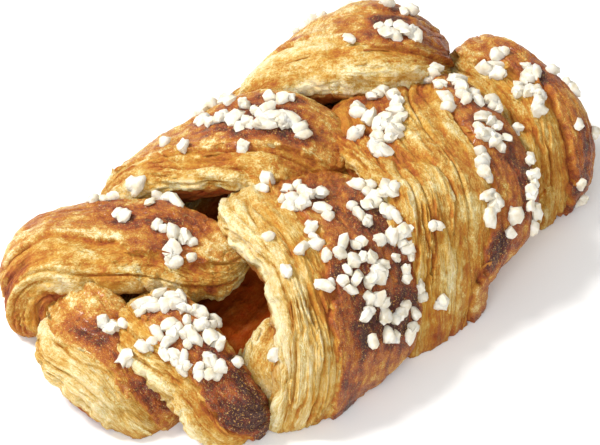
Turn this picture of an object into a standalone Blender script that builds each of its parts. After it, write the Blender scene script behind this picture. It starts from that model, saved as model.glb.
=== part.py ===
"""A braided danish pastry with pearl sugar, baked as one piece.

Three strands of layered dough are braided, so the top shows turns that lean
from both long sides towards the far end and dip under one another. Every turn
is a ribbon swept along its own middle line. The turns, a core that closes the
middle and the sugar nibs are joined into one solid with a flat base.

The long axis is X, with the folded near end at -X. Side turns lie at +Y,
front turns at -Y, and the base stands on Z = 0.
"""

import math
import random

import bmesh
import bpy
import numpy as np
from mathutils import Matrix, Vector
from mathutils.bvhtree import BVHTree

# The shapes below are in millimetres, the objects in metres
MM = 0.001

# Moves the loaf so that the middle of its base is the origin
LOAF_SHIFT = (5.0, -0.3, 0.0)

# Height of the line that the turns wrap round, and how oval their path round it is
AXIS_HEIGHT = 2.0
AXIS_OVAL = 1.4

# Roundness of a turn's section: 2 is an ellipse, more is squarer
SECTION_POWER = 2.4

# How much thinner a turn is at its lip than in its middle
LIP_THINNING = 0.12

# Facets along and around a turn
RINGS = 13
COLUMNS = 18

# Depth of the grooves between the layers that show on the lip side of a turn
LAYER_GROOVE = 0.8

# Length, width and height of a middling sugar nib, and how far it is sunk in
NIB_SIZE = (3.5, 2.8, 2.4)
NIB_SINK = 0.25
NIB_SEED = 7

# Each turn runs from its foot over flank, shoulder and crown to its tuck.
# path: middle line; lip and crest: half widths towards the near and the far end;
# rise: half thickness; ends: share of the length that rounds off at foot and tuck
TURNS = {
    "near tip": {
        "side": -1,
        "path": ((-59, -16, 1), (-67, -7, 6), (-70.5, 6, 10), (-66, 17, 9.8), (-58.5, 23.5, 8.8)),
        "lip": (12, 14, 13.6, 12.6, 10.5),
        "crest": (16, 16, 14, 12, 10),
        "rise": (7, 9, 8, 7, 6),
        "ends": (0.2, 0.12),
    },
    "near fold": {
        "side": -1,
        "path": ((-53, -35, 0), (-56, -27.5, 7.5), (-57, -15, 13.5), (-56.5, -3.5, 14.3), (-51, 7, 9.5)),
        "lip": (10, 13, 13, 15.5, 17),
        "crest": (7, 7, 8.5, 10, 9),
        "tilt": (8, 10, 8, 6, 6),
        "rise": (6, 7, 8, 8, 7),
        "ends": (0.25, 0.12),
    },
    "front one": {
        "side": -1,
        "path": ((-34.2, -33.5, -3), (-32.7, -37.7, 12), (-22.1, -24, 24), (-12.9, -5.8, 26), (-4, 5, 16)),
        "lip": (21, 17, 17, 20, 15),
        "crest": (17, 23.5, 26.8, 24.2, 9),
        "rise": (8, 8, 9, 8, 5),
        "ends": (0.12, 0.12),
    },
    "front flap": {
        "path": ((-45, -38, -5), (-43, -33, 0), (-41, -28.5, 5.5), (-37, -26, 9.5), (-31, -23.5, 12)),
        "lip": (9, 11.5, 11, 8.5, 6),
        "crest": (9, 10, 11, 12, 10),
        "tilt": (8, 14, 18, 20, 18),
        "rise": (7, 8, 9, 9, 8),
        "ends": (0.15, 0.12),
    },
    "front two": {
        "side": -1,
        "path": ((7.4, -36.6, -4), (7.6, -37.6, 11), (20.4, -28, 24), (31.6, -4.9, 26), (42, 10, 19)),
        "lip": (24, 20.5, 24, 25.3, 18),
        "crest": (11, 11, 22.5, 19, 13),
        "rise": (8, 8, 9, 8, 6),
        "ends": (0.12, 0.12),
    },
    "front three": {
        "side": -1,
        "path": ((53.5, -28, -2), (52.8, -30.4, 10), (57.8, -23.4, 20), (62.3, -6, 24), (62, 10, 20)),
        "lip": (16, 12.6, 13.6, 12.2, 10.4),
        "crest": (7, 13, 12, 8.5, 9.4),
        "rise": (7, 8, 8, 7, 6),
        "ends": (0.12, 0.12),
    },
    "side one": {
        "side": 1,
        "path": ((-62, 27, -2), (-61.5, 33, 12.2), (-51, 24.3, 18.3), (-39, 13.6, 20.8), (-26, -4, 17.7)),
        "lip": (10.5, 14, 15.6, 15, 13.5),
        "crest": (15, 16, 14.5, 10, 2),
        "tilt": (14, 20, 24, 24, 20),
        "rise": (10, 11, 8.6, 7, 6),
        "ends": (0.12, 0.12),
    },
    "side two": {
        "side": 1,
        "path": ((-24, 36.8, -2), (-22, 38, 11), (-12, 28.5, 22.3), (0, 15, 29.2), (13, -3.6, 23.3)),
        "lip": (15.5, 18.5, 20.5, 20.5, 19),
        "crest": (16, 16.5, 16, 13.5, 4),
        "tilt": (4, 5, 8, 11, 14),
        "rise": (7, 8, 8, 8, 6),
        "ends": (0.12, 0.12),
    },
    "side three": {
        "side": 1,
        "path": ((20, 36, -2), (22, 37, 14.6), (34, 29.2, 25.2), (45, 19, 28.9), (57, 9, 19)),
        "lip": (17, 18, 19.5, 19.5, 13),
        "crest": (16.5, 17.5, 15.5, 13, 10),
        "tilt": (4, 4, 7, 12, 14),
        "rise": (7, 8, 9, 9, 6),
        "ends": (0.12, 0.12),
    },
    "side four": {
        "side": 1,
        "path": ((60, 28, -3), (63, 26, 1), (65, 19, 4), (64, 9, 8), (61, -3, 11)),
        "lip": (9, 10, 11, 11, 9),
        "crest": (8, 9, 9, 9, 8),
        "rise": (5, 5, 5, 5, 5),
        "ends": (0.12, 0.12),
    },
}

# The dough under the turns, flat and as long as the loaf
CORE = {
    "path": ((-64, 8, 5), (-34, 0, 1), (0, 0, 6), (34, 0, 8), (69, -4, 8)),
    "lip": (22, 36, 40, 39, 27),
    "crest": (22, 36, 40, 39, 27),
    "rise": (8, 7, 10, 11, 12),
    "ends": (0.1, 0.08),
}

# Larger clumps of sugar on each turn: place along it, and round it in turns from the lip
SUGAR = {
    "front one": (
        (0.77, 0.20), (0.73, 0.24), (0.68, 0.22), (0.69, 0.26), (0.62, 0.26), (0.57, 0.23),
        (0.70, 0.34), (0.65, 0.34), (0.58, 0.30), (0.54, 0.35), (0.52, 0.27), (0.49, 0.24),
        (0.46, 0.26), (0.47, 0.29), (0.44, 0.28), (0.43, 0.22), (0.45, 0.36), (0.37, 0.27),
        (0.38, 0.29), (0.37, 0.33), (0.32, 0.32), (0.32, 0.37),
    ),
    "front two": (
        (0.40, 0.02), (0.35, 0.08), (0.32, 0.09), (0.25, 0.13), (0.46, 0.06), (0.23, 0.19),
        (0.80, 0.20), (0.73, 0.15), (0.69, 0.12), (0.68, 0.16), (0.74, 0.21), (0.67, 0.20),
        (0.67, 0.17), (0.63, 0.13), (0.79, 0.29), (0.79, 0.34), (0.71, 0.28), (0.71, 0.32),
        (0.72, 0.36), (0.70, 0.41), (0.63, 0.34), (0.60, 0.30), (0.58, 0.32), (0.55, 0.28),
        (0.51, 0.27), (0.47, 0.27), (0.45, 0.28), (0.56, 0.41), (0.52, 0.39), (0.48, 0.37),
        (0.42, 0.32), (0.45, 0.41),
    ),
    "front three": (
        (0.76, 0.23), (0.72, 0.17), (0.66, 0.27), (0.64, 0.24), (0.60, 0.19), (0.57, 0.23),
        (0.53, 0.21), (0.48, 0.10), (0.15, 0.30), (0.58, 0.40),
    ),
    "side three": (
        (0.46, 0.35), (0.64, 0.41), (0.85, 0.07), (0.78, 0.29), (0.71, 0.21), (0.73, 0.20),
        (0.77, 0.21), (0.79, 0.19),
    ),
    "side two": (
        (0.55, 0.34), (0.44, 0.42), (0.67, 0.27), (0.77, 0.31), (0.56, 0.25), (0.64, 0.24),
        (0.69, 0.22), (0.72, 0.24), (0.72, 0.22), (0.76, 0.23), (0.79, 0.24), (0.81, 0.23),
        (0.68, 0.16), (0.37, 0.04),
    ),
    "side one": (
        (0.54, 0.37), (0.73, 0.40), (0.61, 0.27), (0.74, 0.24), (0.79, 0.23), (0.77, 0.19),
        (0.79, 0.15),
    ),
    "near fold": (
        (0.73, 0.31), (0.74, 0.23), (0.68, 0.28), (0.61, 0.35), (0.54, 0.33), (0.60, 0.23),
        (0.56, 0.25), (0.62, 0.18), (0.55, 0.19), (0.51, 0.22), (0.46, 0.32), (0.47, 0.18),
        (0.42, 0.21), (0.41, 0.24), (0.66, 0.07),
    ),
    "near tip": (
        (0.48, 0.27),
    ),
}


def along(values, u):
    """Smooth curve through evenly spread values (a Catmull-Rom curve), read at u from 0 to 1."""
    points = np.asarray(values, float)
    points = np.concatenate([[2 * points[0] - points[1]], points, [2 * points[-1] - points[-2]]])
    spans = len(points) - 3
    place = np.clip(u, 0.0, 1.0) * spans
    first = np.minimum(place.astype(int), spans - 1)
    f = place - first
    a, b, c, d = (points[first + step] for step in range(4))
    bend = (2 * a - 5 * b + 4 * c - d) * f**2
    twist = (3 * b - a - 3 * c + d) * f**3
    return 0.5 * (2 * b + (c - a) * f + bend + twist)


def end_rounding(u, ends):
    """Half-round falling to 0 over the first and last share of the length."""
    foot = np.clip(u / ends[0], 0.0, 1.0)
    tuck = np.clip((1.0 - u) / ends[1], 0.0, 1.0)
    return np.sqrt(1.0 - (1.0 - foot) ** 2) * np.sqrt(1.0 - (1.0 - tuck) ** 2)


def turn_frame(turn, u):
    """Middle line of a turn, its outward direction and the direction of its lip."""
    middle = np.stack([along([point[axis] for point in turn["path"]], u) for axis in range(3)], -1)
    forward = np.gradient(middle, axis=0)
    forward /= np.linalg.norm(forward, axis=-1, keepdims=True)
    if "side" in turn:
        lift = (middle[:, 2] - AXIS_HEIGHT) * AXIS_OVAL
        outward = np.stack([np.zeros_like(u), middle[:, 1], lift], -1)
        side = turn["side"]
    else:
        outward = np.tile([0.0, 0.0, 1.0], (len(u), 1))
        side = -1
    outward -= (outward * forward).sum(-1, keepdims=True) * forward
    outward /= np.linalg.norm(outward, axis=-1, keepdims=True)
    lipward = np.cross(outward, forward) * -side
    tilt = np.radians(along(turn.get("tilt", (0, 0, 0)), u))[:, None]
    drooping = lipward * np.cos(tilt) - outward * np.sin(tilt)
    return middle, outward * np.cos(tilt) + lipward * np.sin(tilt), drooping


def turn_surface(turn, u, v):
    """Points of a turn in millimetres for places u along it and angles v around it.

    The section is a superellipse: its half width is that of the lip or the
    crest, and its half thickness is least at the lip.
    """
    middle, outward, lipward = turn_frame(turn, u)
    rounding = end_rounding(u, turn["ends"])
    power = 2.0 / SECTION_POWER
    across = np.sign(np.cos(v)) * np.abs(np.cos(v)) ** power
    upward = np.sign(np.sin(v)) * np.abs(np.sin(v)) ** power
    lip = (along(turn["lip"], u) * rounding)[:, None]
    crest = (along(turn["crest"], u) * rounding)[:, None]
    rise = (along(turn["rise"], u) * rounding)[:, None]
    width = np.where(across > 0, lip, crest) * across
    height = rise * upward * (1.0 - LIP_THINNING * across)
    return middle[:, None] + width[..., None] * lipward[:, None] + height[..., None] * outward[:, None]


def groove_depth(v):
    """Grooves between layers: every second column round the lip is drawn in."""
    column = np.arange(len(v))
    on_lip = np.clip(np.cos(v - math.radians(25)) * 1.6 - 0.3, 0.0, 1.0)
    return np.where(column % 2 == 1, LAYER_GROOVE, 0.0) * on_lip


def turn_mesh(name, turn):
    """Closed mesh of one turn: rings of its surface with a fan at each end."""
    inner_u = np.linspace(0.0, 1.0, RINGS + 2)[1:-1]
    u = np.concatenate([[0.004], inner_u, [0.996]])
    v = np.linspace(0.0, 2 * math.pi, COLUMNS, endpoint=False)
    points = turn_surface(turn, u, v)
    if "side" in turn:
        centre = points.mean(axis=1, keepdims=True)
        inward = centre - points
        inward /= np.linalg.norm(inward, axis=-1, keepdims=True)
        points = points + inward * groove_depth(v)[None, :, None]
    shape = bmesh.new()
    rings = [[shape.verts.new(Vector(point) * MM) for point in ring] for ring in points]
    for low, high in zip(rings, rings[1:]):
        for j in range(COLUMNS):
            k = (j + 1) % COLUMNS
            shape.faces.new((low[j], low[k], high[k], high[j]))
    shape.faces.new(reversed(rings[0]))
    shape.faces.new(rings[-1])
    bmesh.ops.triangulate(shape, faces=shape.faces[:])
    bmesh.ops.recalc_face_normals(shape, faces=shape.faces[:])
    mesh = bpy.data.meshes.new(name)
    shape.to_mesh(mesh)
    shape.free()
    return mesh


def add_object(name, mesh, collection):
    """New object with its mesh in a collection."""
    item = bpy.data.objects.new(name, mesh)
    collection.objects.link(item)
    return item


def boolean(target, operation, collection):
    """Joins or cuts the target with all that a collection holds, and applies it.

    The turns graze one another, where the exact solver leaves open edges, so
    this is the manifold solver.
    """
    step = target.modifiers.new(operation.title(), "BOOLEAN")
    step.operation = operation
    step.operand_type = "COLLECTION"
    step.collection = collection
    step.solver = "MANIFOLD"
    graph = bpy.context.evaluated_depsgraph_get()
    result = bpy.data.meshes.new_from_object(target.evaluated_get(graph))
    target.modifiers.clear()
    target.data = result
    for item in list(collection.objects):
        bpy.data.objects.remove(item)


def largest_shell(target):
    """Keeps the largest body of a mesh, so sealed hollows are filled and scraps dropped."""
    shape = bmesh.new()
    shape.from_mesh(target.data)
    bmesh.ops.triangulate(shape, faces=shape.faces[:])
    left = set(shape.faces)
    shells = []
    while left:
        shell = {left.pop()}
        front = list(shell)
        while front:
            face = front.pop()
            for edge in face.edges:
                for other in edge.link_faces:
                    if other in left:
                        left.remove(other)
                        shell.add(other)
                        front.append(other)
        shells.append(shell)
    keep = max(shells, key=len)
    bmesh.ops.delete(shape, geom=[face for face in shape.faces if face not in keep], context="FACES")
    shape.to_mesh(target.data)
    shape.free()


def nib_mesh(draw, place, normal):
    """One sugar nib: a small faceted ball of uneven size, turned at random."""
    shape = bmesh.new()
    bmesh.ops.create_uvsphere(shape, u_segments=5, v_segments=4, radius=0.5)
    grow = draw.uniform(0.8, 1.25)
    size = [length * grow * draw.uniform(0.85, 1.15) for length in NIB_SIZE]
    tilt = Matrix.Rotation(draw.uniform(-0.4, 0.4), 4, "X")
    spin = Matrix.Rotation(draw.uniform(0.0, 2 * math.pi), 4, "Z")
    stand = normal.to_track_quat("Z", "Y").to_matrix().to_4x4()
    height = size[2] * (0.5 - NIB_SINK)
    move = Matrix.Translation((place + normal * height * MM).to_3d())
    scale = Matrix.Diagonal([length * MM for length in size] + [1.0])
    bmesh.ops.transform(shape, matrix=move @ stand @ spin @ tilt @ scale, verts=shape.verts)
    mesh = bpy.data.meshes.new("nib")
    shape.to_mesh(mesh)
    shape.free()
    return mesh


def sugar_place(turn, place_u, turns_v):
    """Point and outward direction on a turn."""
    step = 0.01
    angle = turns_v * 2 * math.pi
    near = turn_surface(turn, np.array([place_u, place_u + step]), np.array([angle, angle + step]))
    normal = np.cross(near[1, 0] - near[0, 0], near[0, 1] - near[0, 0])
    centre, _, _ = turn_frame(turn, np.array([place_u, place_u + step]))
    if np.dot(normal, near[0, 0] - centre[0]) < 0:
        normal = -normal
    return Vector(near[0, 0]) * MM, Vector(normal).normalized()


def strew_sugar(body, collection):
    """Puts nibs at the places of the sugar, on the outermost dough."""
    reach = 6 * MM
    graph = bpy.context.evaluated_depsgraph_get()
    tree = BVHTree.FromObject(body, graph)
    draw = random.Random(NIB_SEED)
    for name, places in SUGAR.items():
        for place_u, turns_v in places:
            place, normal = sugar_place(TURNS[name], place_u, turns_v)
            hit, _, _, distance = tree.ray_cast(place + normal * reach, -normal)
            if hit is None or abs(distance - reach) > 0.3 * reach:
                continue
            add_object("nib", nib_mesh(draw, hit, normal), collection)


def dough_material():
    """Baked, egg-washed dough."""
    material = bpy.data.materials.new("baked dough")
    material.use_nodes = True
    shader = material.node_tree.nodes["Principled BSDF"]
    shader.inputs["Base Color"].default_value = (0.52, 0.22, 0.06, 1.0)
    shader.inputs["Roughness"].default_value = 0.45
    shader.inputs["Metallic"].default_value = 0.0
    return material


def main():
    for item in list(bpy.data.objects):
        bpy.data.objects.remove(item)
    model = bpy.data.collections.new("danish pastry")
    pieces = bpy.data.collections.new("turns")
    cutters = bpy.data.collections.new("cutters")
    for collection in (model, pieces, cutters):
        bpy.context.scene.collection.children.link(collection)

    pastry = add_object("pastry", turn_mesh("core", CORE), model)
    for name, turn in TURNS.items():
        add_object(name, turn_mesh(name, turn), pieces)
    boolean(pastry, "UNION", pieces)

    bpy.ops.mesh.primitive_cube_add(size=1.0, location=(0.0, 0.0, -0.05))
    ground = bpy.context.active_object
    ground.scale = (0.3, 0.3, 0.1)
    for home in list(ground.users_collection):
        home.objects.unlink(ground)
    cutters.objects.link(ground)
    boolean(pastry, "DIFFERENCE", cutters)
    largest_shell(pastry)

    strew_sugar(pastry, pieces)
    boolean(pastry, "UNION", pieces)
    largest_shell(pastry)

    pastry.data.transform(Matrix.Translation(Vector(LOAF_SHIFT) * MM))
    pastry.data.materials.clear()
    pastry.data.materials.append(dough_material())
    pastry.data.name = "pastry"


main()
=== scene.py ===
"""Looks of a braided danish pastry: fine layered dough, browned crust and pearl sugar."""

import math

import bpy
import numpy as np
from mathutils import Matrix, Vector


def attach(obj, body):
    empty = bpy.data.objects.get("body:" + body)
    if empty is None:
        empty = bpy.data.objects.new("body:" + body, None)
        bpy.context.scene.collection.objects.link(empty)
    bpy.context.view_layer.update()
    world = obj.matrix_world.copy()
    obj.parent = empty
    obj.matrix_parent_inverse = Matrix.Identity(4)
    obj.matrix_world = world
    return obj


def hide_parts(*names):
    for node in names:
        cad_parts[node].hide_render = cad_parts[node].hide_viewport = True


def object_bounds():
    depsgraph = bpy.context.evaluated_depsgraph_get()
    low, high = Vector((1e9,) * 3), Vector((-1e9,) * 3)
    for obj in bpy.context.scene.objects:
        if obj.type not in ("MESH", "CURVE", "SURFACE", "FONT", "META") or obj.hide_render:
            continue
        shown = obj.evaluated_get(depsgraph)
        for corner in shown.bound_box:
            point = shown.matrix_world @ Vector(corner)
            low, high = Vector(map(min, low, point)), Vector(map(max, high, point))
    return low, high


# Shapes below are worked out in millimetres and put into meshes in metres
MM = 0.001

# Moves the loaf so that the middle of its base is the origin
LOAF_SHIFT = (5.0, -0.3, 0.0)

# Height of the line that the turns wrap round, and how oval their path round it is
AXIS_HEIGHT = 2.0
AXIS_OVAL = 1.4

# Roundness of a turn's section, and how much thinner it is at its lip
SECTION_POWER = 2.4
LIP_THINNING = 0.12

# Rows along and columns around a turn's fine surface, and the coarser core's
ROWS = 236
COLUMNS = 384
CORE_ROWS = 200
CORE_COLUMNS = 240

# Angle where a turn's columns are closest together, and the one where its surface is joined
DENSE_ANGLE = math.radians(65)
SEAM_ANGLE = math.radians(-110)

# Torn sheets that show on a turn's cut side, coarse to fine: spacing, depth, how far
# their edges wander in spacings, and the length over which they do so
SHEETS = (
    (4.4, 1.0, 0.9, 22.0),
    (1.9, 0.65, 1.5, 15.0),
    (0.9, 0.34, 2.2, 12.0),
)

# Width of the step at a sheet's edge
STEP_WIDTH = 0.3

# Height towards which the buried part of a foot is drawn in
ANCHOR_HEIGHT = 2.5

# Within this distance of the solid's box the surface is eased into it
EASE = 1.8

# Angle, in turns from the lip, where the browned crust ends on the far side of a turn
CRUST_END = 0.47

# The turns: middle line, half widths towards lip and crest, half thickness and
# rounded share at the ends, as in the solid. crust: angle round the section, in
# turns from the lip, where the browned crust begins. layers: strength of the torn
# sheets along the turn. glaze and tone: browning of the crust and of the cut side.
TURNS = {
    "near tip": {
        "side": -1,
        "path": ((-59, -16, 1), (-67, -7, 6), (-70.5, 6, 10), (-66, 17, 9.8), (-58.5, 23.5, 8.8)),
        "lip": (12, 14, 13.6, 12.6, 10.5),
        "crest": (16, 16, 14, 12, 10),
        "rise": (7, 9, 8, 7, 6),
        "ends": (0.2, 0.12),
        "crust": (0.19, 0.17, 0.17, 0.22, 0.26),
        "layers": (1.0, 1.0, 0.8, 0.4, 0.3),
        "glaze": (0.46, 0.46, 0.40, 0.26, 0.26),
        "tone": 0.20,
    },
    "near fold": {
        "side": -1,
        "path": ((-53, -35, 0), (-56, -27.5, 7.5), (-57, -15, 13.5), (-56.5, -3.5, 14.3), (-51, 7, 9.5)),
        "lip": (10, 13, 13, 15.5, 17),
        "crest": (7, 7, 8.5, 10, 9),
        "tilt": (8, 10, 8, 6, 6),
        "rise": (6, 7, 8, 8, 7),
        "ends": (0.25, 0.12),
        "crust": (0.19, 0.19, 0.17, 0.22, 0.32),
        "layers": (0.6, 0.6, 0.6, 0.5, 0.5),
        "glaze": (0.54, 0.50, 0.44, 0.34, 0.28),
        "tone": 0.22,
    },
    "front one": {
        "side": -1,
        "path": ((-34.2, -33.5, -3), (-32.7, -37.7, 12), (-22.1, -24, 24), (-12.9, -5.8, 26), (-4, 5, 16)),
        "lip": (21, 17, 17, 20, 15),
        "crest": (17, 23.5, 26.8, 24.2, 9),
        "rise": (8, 8, 9, 8, 5),
        "ends": (0.12, 0.12),
        "crust": (0.22, 0.22, 0.24, 0.21, 0.14),
        "layers": (1.0, 1.0, 0.8, 0.4, 0.4),
        "glaze": (0.42, 0.42, 0.37, 0.35, 0.30),
        "tone": 0.16,
    },
    "front flap": {
        "path": ((-45, -38, -5), (-43, -33, 0), (-41, -28.5, 5.5), (-37, -26, 9.5), (-31, -23.5, 12)),
        "lip": (9, 11.5, 11, 8.5, 6),
        "crest": (9, 10, 11, 12, 10),
        "tilt": (8, 14, 18, 20, 18),
        "rise": (7, 8, 9, 9, 8),
        "ends": (0.15, 0.12),
        "crust": (0.45, 0.45, 0.45, 0.45, 0.45),
        "layers": (0.6, 0.6, 0.5, 0.4, 0.4),
        "glaze": (0.40, 0.40, 0.40, 0.40, 0.40),
        "tone": 0.16,
    },
    "front two": {
        "side": -1,
        "path": ((7.4, -36.6, -4), (7.6, -37.6, 11), (20.4, -28, 24), (31.6, -4.9, 26), (42, 10, 19)),
        "lip": (24, 20.5, 24, 25.3, 18),
        "crest": (11, 11, 22.5, 19, 13),
        "rise": (8, 8, 9, 8, 6),
        "ends": (0.12, 0.12),
        "crust": (0.26, 0.29, 0.28, 0.29, 0.26),
        "layers": (1.0, 0.9, 0.5, 0.25, 0.25),
        "glaze": (0.42, 0.42, 0.36, 0.32, 0.32),
        "tone": 0.25,
    },
    "front three": {
        "side": -1,
        "path": ((53.5, -28, -2), (52.8, -30.4, 10), (57.8, -23.4, 20), (62.3, -6, 24), (62, 10, 20)),
        "lip": (16, 12.6, 13.6, 12.2, 10.4),
        "crest": (7, 13, 12, 8.5, 9.4),
        "rise": (7, 8, 8, 7, 6),
        "ends": (0.12, 0.12),
        "crust": (0.27, 0.28, 0.27, 0.22, 0.18),
        "layers": (1.0, 0.9, 0.7, 0.4, 0.4),
        "glaze": (0.46, 0.42, 0.34, 0.34, 0.38),
        "tone": 0.18,
    },
    "side one": {
        "side": 1,
        "path": ((-62, 27, -2), (-61.5, 33, 12.2), (-51, 24.3, 18.3), (-39, 13.6, 20.8), (-26, -4, 17.7)),
        "lip": (10.5, 14, 15.6, 15, 13.5),
        "crest": (15, 16, 14.5, 10, 2),
        "tilt": (14, 20, 24, 24, 20),
        "rise": (10, 11, 8.6, 7, 6),
        "ends": (0.12, 0.12),
        "crust": (0.22, 0.21, 0.20, 0.15, 0.20),
        "layers": (0.5, 0.35, 0.25, 0.25, 0.3),
        "glaze": (0.22, 0.26, 0.32, 0.36, 0.34),
        "tone": 0.30,
    },
    "side two": {
        "side": 1,
        "path": ((-24, 36.8, -2), (-22, 38, 11), (-12, 28.5, 22.3), (0, 15, 29.2), (13, -3.6, 23.3)),
        "lip": (15.5, 18.5, 20.5, 20.5, 19),
        "crest": (16, 16.5, 16, 13.5, 4),
        "tilt": (4, 5, 8, 11, 14),
        "rise": (7, 8, 8, 8, 6),
        "ends": (0.12, 0.12),
        "crust": (0.20, 0.19, 0.17, 0.17, 0.22),
        "layers": (0.4, 0.3, 0.25, 0.25, 0.3),
        "glaze": (0.22, 0.24, 0.30, 0.36, 0.32),
        "tone": 0.26,
    },
    "side three": {
        "side": 1,
        "path": ((20, 36, -2), (22, 37, 14.6), (34, 29.2, 25.2), (45, 19, 28.9), (57, 9, 19)),
        "lip": (17, 18, 19.5, 19.5, 13),
        "crest": (16.5, 17.5, 15.5, 13, 10),
        "tilt": (4, 4, 7, 12, 14),
        "rise": (7, 8, 9, 9, 6),
        "ends": (0.12, 0.12),
        "crust": (0.24, 0.23, 0.21, 0.16, 0.18),
        "layers": (0.4, 0.3, 0.25, 0.25, 0.3),
        "glaze": (0.18, 0.20, 0.24, 0.36, 0.44),
        "tone": 0.18,
    },
    "side four": {
        "side": 1,
        "path": ((60, 28, -3), (63, 26, 1), (65, 19, 4), (64, 9, 8), (61, -3, 11)),
        "lip": (9, 10, 11, 11, 9),
        "crest": (8, 9, 9, 9, 8),
        "rise": (5, 5, 5, 5, 5),
        "ends": (0.12, 0.12),
        "crust": (0.20, 0.20, 0.20, 0.20, 0.20),
        "layers": (0.7, 0.7, 0.7, 0.7, 0.7),
        "glaze": (0.40, 0.40, 0.40, 0.40, 0.40),
        "tone": 0.34,
    },
}

# The dough under the turns, as in the solid. Its top in the hollows takes painted shade, a dark red-brown.
CORE = {
    "path": ((-64, 8, 5), (-34, 0, 1), (0, 0, 6), (34, 0, 8), (69, -4, 8)),
    "lip": (22, 36, 40, 39, 27),
    "crest": (22, 36, 40, 39, 27),
    "rise": (8, 7, 10, 11, 12),
    "ends": (0.1, 0.08),
    "crust": (0.45, 0.45, 0.45, 0.45, 0.45),
    "layers": (0.7, 0.7, 0.7, 0.7, 0.7),
    "glaze": (0.40, 0.40, 0.40, 0.40, 0.40),
    "tone": 0.36,
    "painted_hollow_shade": 1.0,
}

# Places that baked darker, or paler where the last value is below 0: along the
# turn, round it in turns from the lip, the spread of both, and how much
PATCHES = {
    "near tip": (
        (0.45, 0.24, 0.12, 0.04, 0.06),
        (0.68, 0.27, 0.08, 0.08, -0.10),
        (0.25, 0.42, 0.14, 0.08, -0.12),
    ),
    "near fold": (
        (0.19, 0.29, 0.08, 0.06, 0.50),
        (0.42, 0.28, 0.12, 0.06, 0.16),
    ),
    "front one": (
        (0.40, 0.25, 0.05, 0.03, 0.24),
        (0.44, 0.36, 0.07, 0.04, 0.26),
        (0.60, 0.33, 0.06, 0.04, 0.20),
        (0.66, 0.24, 0.03, 0.02, 0.18),
        (0.24, 0.30, 0.08, 0.06, 0.10),
        (0.55, 0.06, 0.20, 0.06, -0.10),
    ),
    "front two": (
        (0.76, 0.13, 0.08, 0.06, 0.30),
        (0.50, 0.34, 0.10, 0.04, 0.12),
        (0.30, 0.30, 0.07, 0.03, 0.22),
        (0.14, 0.20, 0.05, 0.03, 0.20),
    ),
    "front three": (
        (0.68, 0.27, 0.10, 0.05, 0.20),
        (0.34, 0.32, 0.10, 0.04, 0.15),
    ),
    "side one": (
        (0.57, 0.02, 0.05, 0.03, 0.22),
        (0.91, 0.07, 0.04, 0.04, 0.20),
        (0.40, 0.00, 0.08, 0.05, -0.15),
        (0.12, -0.06, 0.10, 0.10, 0.10),
    ),
    "side two": (
        (0.70, 0.22, 0.16, 0.04, 0.12),
        (0.39, 0.12, 0.05, 0.03, 0.10),
    ),
    "side three": (
        (0.80, 0.20, 0.08, 0.06, 0.14),
        (0.34, 0.06, 0.07, 0.04, 0.14),
    ),
}

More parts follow.
